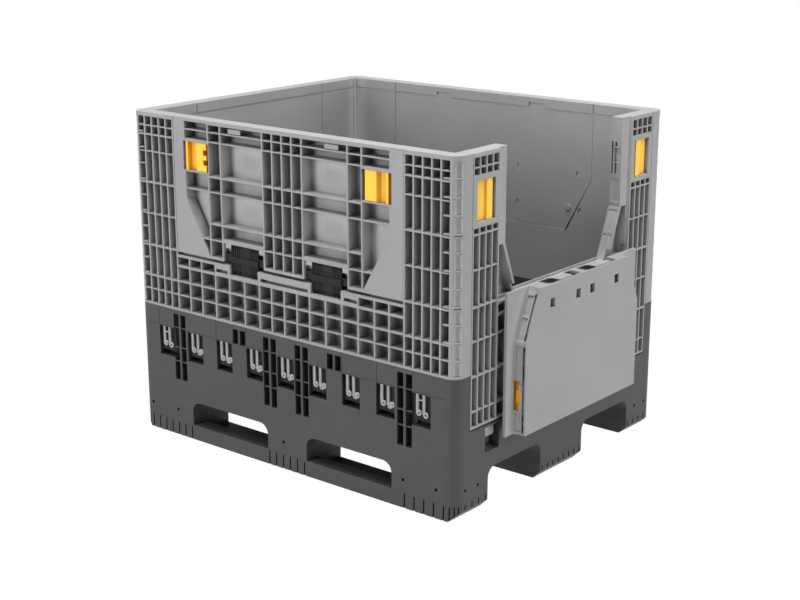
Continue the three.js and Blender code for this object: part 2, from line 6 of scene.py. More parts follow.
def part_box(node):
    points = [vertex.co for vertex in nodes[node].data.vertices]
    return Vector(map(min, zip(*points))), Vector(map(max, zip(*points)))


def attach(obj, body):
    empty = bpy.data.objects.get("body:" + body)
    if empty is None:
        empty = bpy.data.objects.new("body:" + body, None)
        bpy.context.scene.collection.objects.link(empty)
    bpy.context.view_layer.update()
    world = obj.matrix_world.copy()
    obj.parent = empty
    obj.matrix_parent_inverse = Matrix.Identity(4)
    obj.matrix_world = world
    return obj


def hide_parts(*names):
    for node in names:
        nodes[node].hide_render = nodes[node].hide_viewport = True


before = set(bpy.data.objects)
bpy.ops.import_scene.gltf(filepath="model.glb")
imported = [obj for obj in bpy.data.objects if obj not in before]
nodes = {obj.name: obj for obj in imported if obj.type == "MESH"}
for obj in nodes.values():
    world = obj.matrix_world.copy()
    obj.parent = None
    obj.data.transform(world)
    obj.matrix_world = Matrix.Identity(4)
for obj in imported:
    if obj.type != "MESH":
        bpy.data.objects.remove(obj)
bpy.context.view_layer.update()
mm = 0.001

# the tray's half sizes in millimetres, taken from the fixed frame
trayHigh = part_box("base_tray")[1]
halfLength = trayHigh.x / mm
halfWidth = trayHigh.y / mm

# sizes that several pieces share; every side is drawn with x along it, depth inwards from its face and z up
lowerPivot = 556
upperPivot = 616
pivotDepth = 20
doorFoot = 577
postCentre = 568
postRadius = 32
pastFace = -1
skinDepth = 41
pastSkin = 46

sides = {
    "front": dict(place=(0, -halfWidth), turn=0, opened=False),
    "back": dict(place=(0, halfWidth), turn=180, opened=False),
    "right": dict(place=(halfLength, 0), turn=90, opened=True),
    "left": dict(place=(-halfLength, 0), turn=-90, opened=False),
}
longSides = ("front", "back")
endSides = ("right", "left")


# shader maths as expressions
class Wire:
    def __init__(self, tree, socket):
        self.tree = tree
        self.socket = socket

    def node(self, kind, settings=None, inputs=None, output=0):
        made = self.tree.nodes.new(kind)
        for name, value in (settings or {}).items():
            setattr(made, name, value)
        for name, value in (inputs or {}).items():
            if isinstance(value, Wire):
                self.tree.links.new(value.socket, made.inputs[name])
            else:
                made.inputs[name].default_value = value
        return Wire(self.tree, made.outputs[output])

    def maths(self, operation, first, second):
        return self.node("ShaderNodeMath", {"operation": operation}, {0: first, 1: second})

    def __add__(self, other):
        return self.maths("ADD", self, other)

    __radd__ = __add__

    def __mul__(self, other):
        return self.maths("MULTIPLY", self, other)

    def ramp(self, low, high):
        return self.node(
            "ShaderNodeMapRange",
            {"clamp": True},
            {"Value": self, "From Min": low, "From Max": high, "To Min": 0.0, "To Max": 1.0},
        )

    def mix(self, first, second):
        made = self.tree.nodes.new("ShaderNodeMix")
        made.data_type = "RGBA"
        self.tree.links.new(self.socket, made.inputs["Factor"])
        for slot, value in (("A", first), ("B", second)):
            socket = [s for s in made.inputs if s.name == slot and s.type == "RGBA"][0]
            if isinstance(value, Wire):
                self.tree.links.new(value.socket, socket)
            else:
                socket.default_value = (*value, 1.0)
        return Wire(self.tree, [s for s in made.outputs if s.type == "RGBA"][0])


# how clouds and dust spread over a plastic, and where ambient occlusion counts a spot as sunken in a pocket
# (painted shade), as a pocket floor (painted light on the light grey, painted shade on the yellow and black)
# or as open
spreadAndPaintedShade = dict(
    cloud=(0.3, 0.7), cloudDetail=(3.0, 0.55), dust=(0.48, 0.8), dustDetail=(6.0, 0.7),
    grainDetail=(2.0, 0.6), reach=0.06, samples=8, paintedShade=(0.2, 0.55), floor=(0.72, 0.96),
)


def mouldedPlastic(name, look):
    material = bpy.data.materials.new(name)
    material.use_nodes = True
    tree = material.node_tree
    shader = tree.nodes["Principled BSDF"]
    start = Wire(tree, None)
    place = start.node("ShaderNodeTexCoord", output=3)

    def noise(scale, detail):
        return start.node("ShaderNodeTexNoise", {}, {
            "Vector": place, "Scale": scale, "Detail": detail[0], "Roughness": detail[1],
        })

    cloud = noise(look["cloudScale"], spreadAndPaintedShade["cloudDetail"]).ramp(*spreadAndPaintedShade["cloud"])
    # ambient occlusion drives the painted shade and painted light in the pockets; it is no real colour of the
    # plastic
    paintedShadeAO = start.node(
        "ShaderNodeAmbientOcclusion", {"samples": spreadAndPaintedShade["samples"]}, {"Distance": spreadAndPaintedShade["reach"]}, output=1
    )
    grain = noise(look["grainScale"], spreadAndPaintedShade["grainDetail"])
    dust = noise(look["dustScale"], spreadAndPaintedShade["dustDetail"]).ramp(*spreadAndPaintedShade["dust"])
    colour = cloud.mix(look["dark"], look["light"])
    colour = (dust * look["dustAmount"]).mix(colour, look["dust"])
    # painted light and shade on pocket floors: the light grey's floor tone is lighter than its open faces,
    # the yellow's is a darker orange
    colour = paintedShadeAO.ramp(*spreadAndPaintedShade["floor"]).mix(look["floor"], colour)
    # painted shade: the most sunken spots in pockets are darkened, to orange on the yellow latches
    colour = paintedShadeAO.ramp(*spreadAndPaintedShade["paintedShade"]).mix(look["paintedShade"], colour)
    tree.links.new(colour.socket, shader.inputs["Base Color"])
    rough = look["roughness"] + cloud * look["roughSpread"] + dust * look["dustRough"]
    tree.links.new(rough.socket, shader.inputs["Roughness"])
    shader.inputs["Specular IOR Level"].default_value = look["specular"]
    bump = start.node("ShaderNodeBump", {}, {
        "Height": grain, "Strength": look["grainStrength"], "Distance": look["grainDepth"],
    })
    tree.links.new(bump.socket, shader.inputs["Normal"])
    return material


# paintedShade and floor colours are painted shade and painted light for pockets; dark, light and dust are the
# plastics' own tones
plasticLooks = {
    "light_grey_plastic": dict(
        paintedShade=(0.16, 0.161, 0.162), floor=(0.39, 0.391, 0.392),
        dark=(0.245, 0.247, 0.25), light=(0.272, 0.275, 0.278), dust=(0.31, 0.31, 0.306),
        cloudScale=5.0, grainScale=900.0, dustScale=22.0, dustAmount=0.25,
        roughness=0.42, roughSpread=0.06, dustRough=0.08,
        specular=0.42, grainStrength=0.12, grainDepth=0.0004,
    ),
    "dark_grey_plastic": dict(
        paintedShade=(0.008, 0.008, 0.008), floor=(0.04, 0.04, 0.041),
        dark=(0.036, 0.0366, 0.0376), light=(0.043, 0.0436, 0.0446), dust=(0.078, 0.078, 0.078),
        cloudScale=4.0, grainScale=700.0, dustScale=16.0, dustAmount=0.3,
        roughness=0.46, roughSpread=0.08, dustRough=0.1,
        specular=0.42, grainStrength=0.2, grainDepth=0.0005,
    ),
    "yellow_plastic": dict(
        paintedShade=(0.68, 0.24, 0.004), floor=(0.72, 0.34, 0.01),
        dark=(0.84, 0.49, 0.028), light=(0.88, 0.55, 0.04), dust=(0.86, 0.56, 0.12),
        cloudScale=14.0, grainScale=900.0, dustScale=50.0, dustAmount=0.12,
        roughness=0.33, roughSpread=0.06, dustRough=0.08,
        specular=0.5, grainStrength=0.1, grainDepth=0.0003,
    ),
    "black_plastic": dict(
        paintedShade=(0.004, 0.004, 0.004), floor=(0.01, 0.01, 0.01),
        dark=(0.011, 0.011, 0.012), light=(0.016, 0.016, 0.017), dust=(0.03, 0.03, 0.03),
        cloudScale=12.0, grainScale=900.0, dustScale=40.0, dustAmount=0.25,
        roughness=0.4, roughSpread=0.08, dustRough=0.1,
        specular=0.16, grainStrength=0.15, grainDepth=0.0004,
    ),
}
plastics = {name: mouldedPlastic(name, look) for name, look in plasticLooks.items()}
print("materials made")


def clearSelection():
    bpy.ops.object.select_all(action="DESELECT")


def choose(piece):
    clearSelection()
    piece.select_set(True)
    bpy.context.view_layer.objects.active = piece


def editAll(operator, **values):
    bpy.ops.object.mode_set(mode="EDIT")
    bpy.ops.mesh.select_all(action="SELECT")
    operator(**values)
    bpy.ops.object.mode_set(mode="OBJECT")


def block(low, high, bevel=0.6):
    clearSelection()
    size = [(b - a) * mm for a, b in zip(low, high)]
    middle = [(a + b) / 2 * mm for a, b in zip(low, high)]
    bpy.ops.mesh.primitive_cube_add(size=1, location=middle, scale=size)
    bpy.ops.object.transform_apply(location=True, rotation=True, scale=True)
    if bevel:
        editAll(bpy.ops.mesh.bevel, offset=bevel * mm, segments=2, affect="EDGES", clamp_overlap=True)
    return bpy.context.object


def outlined(points, low, high, across, bevel=0.0):  # an outline that is drawn out along one axis
    clearSelection()
    bpy.ops.mesh.primitive_circle_add(vertices=len(points), radius=1, fill_type="NGON")
    piece = bpy.context.object
    for vertex, (a, b) in zip(piece.data.vertices, points):
        spot = {"x": (low, a, b), "y": (a, low, b), "z": (a, b, low)}[across]
        vertex.co = Vector(spot) * mm
    run = {"x": (1, 0, 0), "y": (0, 1, 0), "z": (0, 0, 1)}[across]
    push = tuple(step * (high - low) * mm for step in run)
    bpy.ops.object.mode_set(mode="EDIT")
    bpy.ops.mesh.select_all(action="SELECT")
    bpy.ops.mesh.extrude_region_move(TRANSFORM_OT_translate={"value": push})
    bpy.ops.mesh.select_all(action="SELECT")
    bpy.ops.mesh.normals_make_consistent(inside=False)
    if bevel:
        bpy.ops.mesh.bevel(offset=bevel * mm, segments=2, affect="EDGES", clamp_overlap=True)
    bpy.ops.object.mode_set(mode="OBJECT")
    return piece


def rod(centre, radius, low, high, across, sides=20, bevel=0.0):  # a round bar along one axis
    steps = [2 * math.pi * step / sides for step in range(sides)]
    points = [(centre[0] + radius * math.cos(t), centre[1] + radius * math.sin(t)) for t in steps]
    return outlined(points, low, high, across, bevel)


def stadium(radius, low, high, sides=9):  # two half circles about the pivots, in depth and height
    points = []
    for height, start in ((high, 0), (low, math.pi)):
        for step in range(sides + 1):
            angle = start + math.pi * step / sides
            points.append((pivotDepth + radius * math.cos(angle), height + radius * math.sin(angle)))
    return points


def joinAs(name, parts):
    choose(parts[0])
    for part in parts:
        part.select_set(True)
    if len(parts) > 1:
        bpy.ops.object.join()
    whole = bpy.context.object
    whole.name = name
    whole.data.name = name
    return whole


def copyOf(piece, name):
    other = piece.copy()
    other.data = piece.data.copy()
    other.name = name
    bpy.context.scene.collection.objects.link(other)
    return other


def mirrored(piece, name):
    other = copyOf(piece, name)
    choose(other)
    other.scale.x = -1
    bpy.ops.object.transform_apply(location=False, rotation=False, scale=True)
    editAll(bpy.ops.mesh.normals_make_consistent, inside=False)
    return other


def bothEnds(parts):
    return parts + [mirrored(part, "otherEnd") for part in parts]


def sidePlace(side):
    x, y = sides[side]["place"]
    turn = Matrix.Rotation(math.radians(sides[side]["turn"]), 4, "Z")
    return Matrix.Translation((x * mm, y * mm, 0)) @ turn


def carried(side, carrier):  # where a wall, its links or its door stand at rest
    place = sidePlace(side)
    if carrier == "wall":
        return place
    swing = Matrix.Rotation(math.radians(90 if sides[side]["opened"] else 0), 4, "X")
    place = place @ Matrix.Translation((0, pivotDepth * mm, lowerPivot * mm)) @ swing
    if carrier == "link":
        return place @ Matrix.Translation((0, -pivotDepth * mm, -lowerPivot * mm))
    rise = Matrix.Translation((0, 0, (upperPivot - lowerPivot) * mm))
    return place @ rise @ swing @ Matrix.Translation((0, -pivotDepth * mm, -upperPivot * mm))


def putOn(piece, side, carrier):
    choose(piece)
    piece.matrix_world = carried(side, carrier)
    bpy.ops.object.transform_apply(location=True, rotation=True, scale=True)
    return piece


# the body and the frame node of each wall
wallBody = {"front": "root", "back": "root", "right": "right_end", "left": "left_end"}
wallNode = {"front": "front_wall", "back": "back_wall", "right": "right_end_wall", "left": "left_end_wall"}


def finish(piece, body, material):
    piece.data.materials.clear()
    piece.data.materials.append(plastics[material])
    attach(piece, body)


def settle(piece, side, material, carrier):
    body = {"wall": wallBody[side], "door": f"{side}_door", "link": f"{side}_door_links"}[carrier]
    finish(putOn(piece, side, carrier), body, material)


def settlePair(piece, pair, name, material, carrier):
    other = copyOf(piece, f"{pair[1]}_{name}")
    piece.name = f"{pair[0]}_{name}"
    settle(piece, pair[0], material, carrier)
    settle(other, pair[1], material, carrier)


# how the frame's faceted solids are merged, flattened and rounded
edges = dict(merge=0.01, flatAngle=0.5, rounding=0.6, sharpAngle=30)


def carve(node, cutters, body, material):  # a copy of a frame node with finer recesses cut into it
    piece = copyOf(nodes[node], f"{node}_moulding")
    piece.parent = None
    piece.matrix_world = Matrix.Identity(4)
    piece.modifiers.clear()
    choose(piece)
    editAll(bpy.ops.mesh.remove_doubles, threshold=edges["merge"] * mm)
    tool = joinAs("cutter", cutters)
    choose(piece)
    cut = piece.modifiers.new("cut", "BOOLEAN")
    cut.operation = "DIFFERENCE"
    cut.solver = "EXACT"
    cut.object = tool
    bpy.ops.object.modifier_apply(modifier="cut")
    bpy.data.objects.remove(tool)
    piece.data.name = piece.name
    finish(piece, body, material)
    softEdges(piece)
    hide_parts(node)


def softEdges(piece):
    flat = piece.modifiers.new("flat", "DECIMATE")
    flat.decimate_type = "DISSOLVE"
    flat.angle_limit = math.radians(edges["flatAngle"])
    edge = piece.modifiers.new("edge", "BEVEL")
    edge.width = edges["rounding"] * mm
    edge.segments = 2
    edge.limit_method = "ANGLE"
    edge.angle_limit = math.radians(edges["sharpAngle"])


# thin cross ribs inside the pockets of the walls and doors
crossRibs = {
    "long": dict(
        pair=longSides, blockRows=[444, 675, 861, 937], blockFrom=429, blockTo=572, lowerRows=[444],
        lowerTo=426, doorRows=[633, 772, 915, 943], doorHalf=379, bottomHalf=290, kink=742,
    ),
    "short": dict(
        pair=endSides, blockRows=[291, 482, 672, 937], blockFrom=326, blockTo=434, lowerRows=[291, 482],
        lowerTo=322, doorRows=[772, 915, 943], doorHalf=276, bottomHalf=216, kink=717,
    ),
}
ribShape = dict(thickness=3.8, depth=(0.9, 39.2), bevel=0.4)


def crossRib(start, end, z):
    half = ribShape["thickness"] / 2
    outer, inner = ribShape["depth"]
    return block((start, outer, z - half), (end, inner, z + half), ribShape["bevel"])


def doorReach(look, z):
    slope = (look["doorHalf"] - look["bottomHalf"]) / (look["kink"] - doorFoot)
    return look["doorHalf"] - max(0, look["kink"] - z) * slope


for size, look in crossRibs.items():
    parts = []
    for z in look["blockRows"]:
        parts.append(crossRib(look["blockFrom"], look["blockTo"], z))
        parts.append(crossRib(-look["blockTo"], -look["blockFrom"], z))
    for z in look["lowerRows"]:
        parts.append(crossRib(-look["lowerTo"], look["lowerTo"], z))
    settlePair(joinAs("ribs", parts), look["pair"], "wall_cross_ribs", "light_grey_plastic", "wall")
    parts = [crossRib(-doorReach(look, z), doorReach(look, z), z) for z in look["doorRows"]]
    settlePair(joinAs("ribs", parts), look["pair"], "door_cross_ribs", "light_grey_plastic", "door")
print("cross ribs made")

# rounded fins around the corner posts
cornerFins = dict(
    first=444, pitch=47.4, count=11, thickness=3.6, bevel=0.4, inset=0.1, steps=12,
    inboard=[(-14, 0.4), (0, 0.1)], inner=[(31.6, 44), (20, 44), (-14, 12)],
)


def cornerFin(z, look):
    arc = []
    for step in range(1, look["steps"] + 1):
        angle = math.radians(-90 + 90 * step / look["steps"])
        across = postRadius * math.cos(angle) - look["inset"]
        arc.append((across, postRadius + postRadius * math.sin(angle) + look["inset"]))
    points = [(postCentre + x, depth) for x, depth in look["inboard"] + arc + look["inner"]]
    half = look["thickness"] / 2
    return outlined(points, z - half, z + half, "z", look["bevel"])


heights = [cornerFins["first"] + step * cornerFins["pitch"] for step in range(cornerFins["count"])]
fins = joinAs("fins", [cornerFin(z, cornerFins) for z in heights])
otherFins = mirrored(fins, "fins")
settlePair(fins, longSides, "corner_fins_1", "light_grey_plastic", "wall")
settlePair(otherFins, longSides, "corner_fins_2", "light_grey_plastic", "wall")
print("corner fins made")

# finned barrels and the plain band of the black hinge links
hingeLinks = dict(
    places={"front": 155, "back": 155, "right": 92, "left": 92}, halfWidth=54, finRadius=14.4, finWidth=3.0,
    fins=[-46, -38, -30, -22, 22, 30, 38, 46], caps=[-52, 52], capWidth=3.6, finBevel=0.4,
    bars=[((3.2, 9), (578, 596), 1.2), ((9.5, 14), (546, 552), 0.8), ((9.5, 14), (620, 626), 0.8)],
)


def hingeLink(look):
    parts = []
    for place in look["fins"] + look["caps"]:
        width = look["finWidth"] if place in look["fins"] else look["capWidth"]
        outline = stadium(look["finRadius"], lowerPivot, upperPivot)
        parts.append(outlined(outline, place - width / 2, place + width / 2, "x", look["finBevel"]))
    half = look["halfWidth"]
    for depth, height, bevel in look["bars"]:
        parts.append(block((-half, depth[0], height[0]), (half, depth[1], height[1]), bevel))
    return joinAs("link", parts)


linkTrim = hingeLink(hingeLinks)
for side, place in hingeLinks["places"].items():
    for number, sign in ((1, -1), (2, 1)):
        piece = copyOf(linkTrim, f"{side}_door_hinge_{number}_fins")
        piece.location.x = sign * place * mm
        choose(piece)
        bpy.ops.object.transform_apply(location=True, rotation=False, scale=False)
        settle(piece, side, "black_plastic", "link")
bpy.data.objects.remove(linkTrim)
print("hinge links made")

# slide latches: upright bands on a plate, and the bolt behind; one of the latches has a notched band
latches = [
    dict(
        sides=longSides, on="door", start=294, end=377, low=826, high=908, edge=383.7, outer=12, inner=48,
        plate=14,
    ),
    dict(
        sides=endSides, on="door", start=210, end=274, low=826, high=908, edge=280.7, outer=20, inner=34,
        plate=14,
    ),
    dict(
        sides=endSides, on="wall", start=350, end=410, low=797, high=903, edge=436.7, outer=0, inner=34,
        plate=8,
    ),
]
latchShape = dict(
    back=15, plateBack=22, bevel=0.8, outerFace=0.9, outerSlope=2, innerFace=2.6, innerSlope=(1, 8),
    notch=12, teeth=[(0, 19), (34, 48), (63, 82)], toothFace=2.8, toothEnd=13.5,
    boltHalf=17, boltDepth=(14, 30), boltOverlap=9, boltBevel=1.0,
)
notchedLatch = ("front", "door", 1)


def latchBand(start, end, face, slopes, look):
    back = latchShape["back"]
    points = [(start, back), (start + slopes[0], face), (end - slopes[1], face), (end, back)]
    return outlined(points, look["low"], look["high"], "z", latchShape["bevel"])


def slideLatch(look, notched=False):
    shape = latchShape
    start, end, low, high = look["start"], look["end"], look["low"], look["high"]
    bandStart = start + shape["notch"] if notched else start
    parts = [
        block((bandStart, look["plate"], low), (end, shape["plateBack"], high), shape["bevel"]),
        latchBand(bandStart, start + look["inner"], shape["innerFace"], shape["innerSlope"], look),
    ]
    if look["outer"]:
        slopes = (shape["outerSlope"], shape["outerSlope"])
        parts.append(latchBand(end - look["outer"], end, shape["outerFace"], slopes, look))
    if notched:
        for foot, top in shape["teeth"]:
            corner = (start + shape["toothEnd"], shape["plateBack"], low + top)
            parts.append(block((start, shape["toothFace"], low + foot), corner, shape["bevel"]))
    middle = (low + high) / 2
    outer, inner = shape["boltDepth"]
    boltLow = (end - shape["boltOverlap"], outer, middle - shape["boltHalf"])
    parts.append(block(boltLow, (look["edge"], inner, middle + shape["boltHalf"]), shape["boltBevel"]))
    return joinAs("latch", parts)


for look in latches:
    right = slideLatch(look)
    left = mirrored(right, "latch")
    sources = [right, left]
    for side in look["sides"]:
        for number, source in ((1, left), (2, right)):
            if (side, look["on"], number) == notchedLatch:
                notched = slideLatch(look, True)
                source = mirrored(notched, "latch")
                sources += [notched, source]
            body = f"{side}_{look['on']}_latch_{number}"
            piece = copyOf(source, f"{body}_plate")
            finish(putOn(piece, side, look["on"]), body, "yellow_plastic")
            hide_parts(body)
    for source in sources:
        bpy.data.objects.remove(source)
print("latches made")

# forked knuckles of the long walls in the windows of the base, over black sheets that are painted shade for
# the dark inside of the windows
windows = dict(
    count=9, pitch=121.5, high=334.6, shadeSheetHalf=31, shadeSheetLow=260, shadeSheetDepth=(8.3, 9.6), shadeSheetBevel=0.2,
)
knuckle = dict(
    bars=[-15, 7], barWidth=8.6, barDepth=(2.2, 8.0), barBevel=1.0, foot=279,
    tieDepth=(2.8, 7.6), tieHeights=(316, 320), tieBevel=0.8,
    curls=[(-10.5, 282), (12.5, 279), (20, 283)], endCurls=2,
    curlRadius=6.0, curlThickness=3.1, curlDepth=5.0,
)


def curl(x, z, look):
    clearSelection()
    bpy.ops.mesh.primitive_torus_add(
        major_segments=18, minor_segments=8,
        major_radius=look["curlRadius"] * mm, minor_radius=look["curlThickness"] * mm,
        location=(x * mm, look["curlDepth"] * mm, z * mm), rotation=(math.radians(90), 0, 0),
    )
    bpy.ops.object.transform_apply(location=True, rotation=True, scale=True)
    return bpy.context.object


# painted shade: a black sheet behind each window stands in for the shade inside the base
def windowShadeSheet(place, look):
    outer, inner = look["shadeSheetDepth"]
    low = (place - look["shadeSheetHalf"], outer, look["shadeSheetLow"])
    return block(low, (place + look["shadeSheetHalf"], inner, look["high"]), look["shadeSheetBevel"])


def windowKnuckle(place, look, atEnd):
    half = look["barWidth"] / 2
    outer, inner = look["barDepth"]
    parts = []
    for bar in look["bars"]:
        low = (place + bar - half, outer, look["foot"])
        parts.append(block(low, (place + bar + half, inner, windows["high"]), look["barBevel"]))
    curls = look["curls"]
    if atEnd:
        outer, inner = look["tieDepth"]
        low, high = look["tieHeights"]
        start, end = [place + bar for bar in look["bars"]]
        parts.append(block((start, outer, low), (end, inner, high), look["tieBevel"]))
        curls = curls[:look["endCurls"]]
    return parts + [curl(place + x, z, look) for x, z in curls]


shadeSheets = []
bars = []
for index in range(windows["count"]):
    place = (index - (windows["count"] - 1) / 2) * windows["pitch"]
    shadeSheets.append(windowShadeSheet(place, windows))
    bars += windowKnuckle(place, knuckle, index in (0, windows["count"] - 1))
settlePair(joinAs("shadeSheets", shadeSheets), longSides, "window_shade_sheets", "black_plastic", "wall")
settlePair(joinAs("bars", bars), longSides, "window_knuckles", "light_grey_plastic", "wall")
print("window knuckles made")

# cross bars in the vents of the base
vents = dict(
    places=[-430, -61, 61, 430], reach=25.5, rows=[340, 279, 235], depth=(2.0, 9.0), thickness=3.6, bevel=0.5,
)
bars = []
for place in vents["places"]:
    for z in vents["rows"]:
        low = (place - vents["reach"], vents["depth"][0], z - vents["thickness"] / 2)
        high = (place + vents["reach"], vents["depth"][1], z + vents["thickness"] / 2)
        bars.append(block(low, high, vents["bevel"]))
bars = joinAs("bars", bars)
for side in longSides:
    piece = copyOf(bars, f"{side}_vent_bars")
    finish(putOn(piece, side, "wall"), "root", "dark_grey_plastic")
bpy.data.objects.remove(bars)
print("vent bars made")

# seams and pin holes cut into a copy of the tray
trayCuts = dict(
    pins=[-562, -450, -13, 425, 537], endPins=[-455, -400, 400, 455],
    pinHeight=81, pinRadius=5.0, pinDepth=9, pinSides=14, seamWidth=1.6, seamDepth=1.4, seamHeight=337.2,
    seams=[(-566, -457), (-403, -88), (-34, 34), (88, 403), (457, 566)],
    uprights=[-519, -276, -154, 211, 333, 455], uprightFoot=340.2, uprightTop=392, uprightDepth=1.2,
)


def pinHoles(places, look):
    height, radius, depth = look["pinHeight"], look["pinRadius"], look["pinDepth"]
    return [rod((place, height), radius, pastFace, depth, "y", look["pinSides"]) for place in places]


def traySeams(look):
    low = look["seamHeight"]
    width = look["seamWidth"]
    cutters = []
    for start, end in look["seams"]:
        cutters.append(block((start, pastFace, low), (end, look["seamDepth"], low + width), 0))
    for start in look["uprights"]:
        foot = (start, pastFace, look["uprightFoot"])
        cutters.append(block(foot, (start + width, look["uprightDepth"], look["uprightTop"]), 0))
    return cutters


cutters = []
for side in longSides:
    parts = pinHoles(trayCuts["pins"], trayCuts) + traySeams(trayCuts)
    cutters += [putOn(part, side, "wall") for part in parts]
for side in endSides:
    cutters += [putOn(part, side, "wall") for part in pinHoles(trayCuts["endPins"], trayCuts)]
carve("base_tray", cutters, "root", "dark_grey_plastic")
print("base tray carved")

# upright slits in the skids
skidCuts = dict(
    width=4.5, depth=5, top=42, pitch=27, spans=[(430, 562), (-562, -392), (-70, 66)],
    endFoot=25, outerEnd=(365, 455), middleEnd=(-95, 95),
    cornerPlace=(postCentre, halfWidth - postRadius), cornerAngles=(22, 45, 68), cornerReach=(24, 40),
    cornerHalf=2,
)


def slitRow(span, look, side, low=pastFace):
    cutters = []
    half = look["width"] / 2
    count = int((span[1] - span[0]) / look["pitch"])
    for step in range(count + 1):
        x = span[0] + (span[1] - span[0]) * step / count
        slit = block((x - half, pastFace, low), (x + half, look["depth"], look["top"]), 0)
        cutters.append(putOn(slit, side, "wall"))
    return cutters


def endSlits(span, look):  # the same span of y on both ends, which are drawn in opposite directions
    right = slitRow((-span[1], -span[0]), look, "right", look["endFoot"])
    return right + slitRow(span, look, "left", look["endFoot"])


def cornerSlits(signX, signY, look):  # slits around a rounded corner
    near, far = look["cornerReach"]
    half = look["cornerHalf"]
    x, y = look["cornerPlace"]
    cutters = []
    for angle in look["cornerAngles"]:
        piece = block((near, -half, pastFace), (far, half, look["top"]), 0)
        choose(piece)
        turn = math.atan2(math.sin(math.radians(angle)) * signY, math.cos(math.radians(angle)) * signX)
        middle = Matrix.Translation((x * signX * mm, y * signY * mm, 0))
        piece.matrix_world = middle @ Matrix.Rotation(turn, 4, "Z")
        bpy.ops.object.transform_apply(location=True, rotation=True, scale=True)
        cutters.append(piece)
    return cutters


for side, sign in (("front", -1), ("back", 1)):
    cutters = []
    for span in skidCuts["spans"]:
        cutters += slitRow(span, skidCuts, side)
    cutters += cornerSlits(1, sign, skidCuts) + cornerSlits(-1, sign, skidCuts)
    cutters += endSlits(tuple(sorted(-sign * end for end in skidCuts["outerEnd"])), skidCuts)
    carve(f"{side}_skid", cutters, "root", "dark_grey_plastic")
carve("middle_skid", endSlits(skidCuts["middleEnd"], skidCuts), "root", "dark_grey_plastic")
print("skids carved")

# thin lips that close the gap under the doors on the inside
sillLips = dict(halves={longSides: 294, endSides: 220}, depth=(40.4, 44.6), heights=(568.4, 575.4), bevel=0.6)
for pair, half in sillLips["halves"].items():
    low = (-half, sillLips["depth"][0], sillLips["heights"][0])
    lip = block(low, (half, sillLips["depth"][1], sillLips["heights"][1]), sillLips["bevel"])
    settlePair(lip, pair, "sill_lip", "light_grey_plastic", "wall")
print("sill lips made")

# recesses in the edges, the foot and the inner face of the doors
doorways = {
    "long": dict(
        sides=longSides, half=384, bottomHalf=295, kink=742, hinge=155, clip=180, lipEnd=553,
        slotDepth=skinDepth, slots=[(115, 640), (115, 754), (336, 754)], slotSize=(11, 17),
        wallSlots=[(347, 642)],
    ),
    "short": dict(
        sides=endSides, half=281, bottomHalf=221, kink=717, hinge=92, clip=None, lipEnd=434, slotDepth=30,
        slots=[(35, 631), (161, 630)], slotSize=(22, 26), wallSlots=[],
    ),
}
edgeRecesses = [
    dict(inset=7, depth=(33, 40), uprights=[(None, 968)], slants=[(0.12, 0.95)]),
    dict(inset=3.6, depth=(11.5, 29), uprights=[(None, 836), (914, 966)], slants=[(0.16, 0.5), (0.56, 0.94)]),
]
edgeOverlap = 3
aboveKink = 10
linkPocket = dict(half=68, depth=(6, 38.5), heights=(570, 606))
clipSlot = dict(half=29, heights=(949, 959))


def along(look, share):  # a point of the slanted edge, from the foot to the kink
    x = look["bottomHalf"] + (look["half"] - look["bottomHalf"]) * share
    return x, doorFoot + (look["kink"] - doorFoot) * share


def slantCutter(look, shares, inwards, outwards, depth):  # a bar along the slanted edge
    (x0, z0), (x1, z1) = along(look, shares[0]), along(look, shares[1])
    run = Vector((x1 - x0, z1 - z0)).normalized()
    side = Vector((run.y, -run.x))
    corners = [(x0, z0, -inwards), (x0, z0, outwards), (x1, z1, outwards), (x1, z1, -inwards)]
    points = [(x + side.x * reach, z + side.y * reach) for x, z, reach in corners]
    return outlined(points, *depth, "y")


def doorCutters(look):
    half = look["half"]
    parts = []
    for recess in edgeRecesses:
        outer, inner = recess["depth"]
        for low, high in recess["uprights"]:
            foot = low or look["kink"] + aboveKink
            parts.append(block((half - recess["inset"], outer, foot), (half + edgeOverlap, inner, high), 0))
    for recess in edgeRecesses:
        for shares in recess["slants"]:
            parts.append(slantCutter(look, shares, recess["inset"], edgeOverlap, recess["depth"]))
    (outer, inner), (low, high) = linkPocket["depth"], linkPocket["heights"]
    start, end = look["hinge"] - linkPocket["half"], look["hinge"] + linkPocket["half"]
    parts.append(block((start, outer, low), (end, inner, high), 0))
    width, height = look["slotSize"]
    for x, z in look["slots"]:
        low = (x - width / 2, look["slotDepth"], z - height / 2)
        parts.append(block(low, (x + width / 2, pastSkin, z + height / 2), 0))
    if look["clip"]:
        low, high = clipSlot["heights"]
        start, end = look["clip"] - clipSlot["half"], look["clip"] + clipSlot["half"]
        parts.append(block((start, skinDepth, low), (end, pastSkin, high), 0))
    return bothEnds(parts)


for look in doorways.values():
    for side in look["sides"]:
        cutters = [putOn(part, side, "door") for part in doorCutters(look)]
        carve(f"{side}_door", cutters, f"{side}_door", "light_grey_plastic")
print("doors carved")

# round bosses on the inner face of the long doors
boss = dict(place=(305, 649), radius=10, depth=(44.4, 47.4), sides=24, bevel=1.2)
bosses = bothEnds([rod(boss["place"], boss["radius"], *boss["depth"], "y", boss["sides"], boss["bevel"])])
settlePair(joinAs("bosses", bosses), longSides, "door_bosses", "light_grey_plastic", "door")
print("bosses made")

# lips along the inner edge of the rim, with a gap over each clip slot, and the clips outside
rimLip = dict(depth=(44.5, 46.3), low=946, middle=960, high=974.4, doorEnd=1.2, wallStart=2.7, bevel=0.5)
rimClip = dict(half=24, depth=(1.9, 6), heights=(947, 960), bevel=0.6)


def lipBlock(start, end, low, high):
    outer, inner = rimLip["depth"]
    return block((start, outer, low), (end, inner, high), rimLip["bevel"])


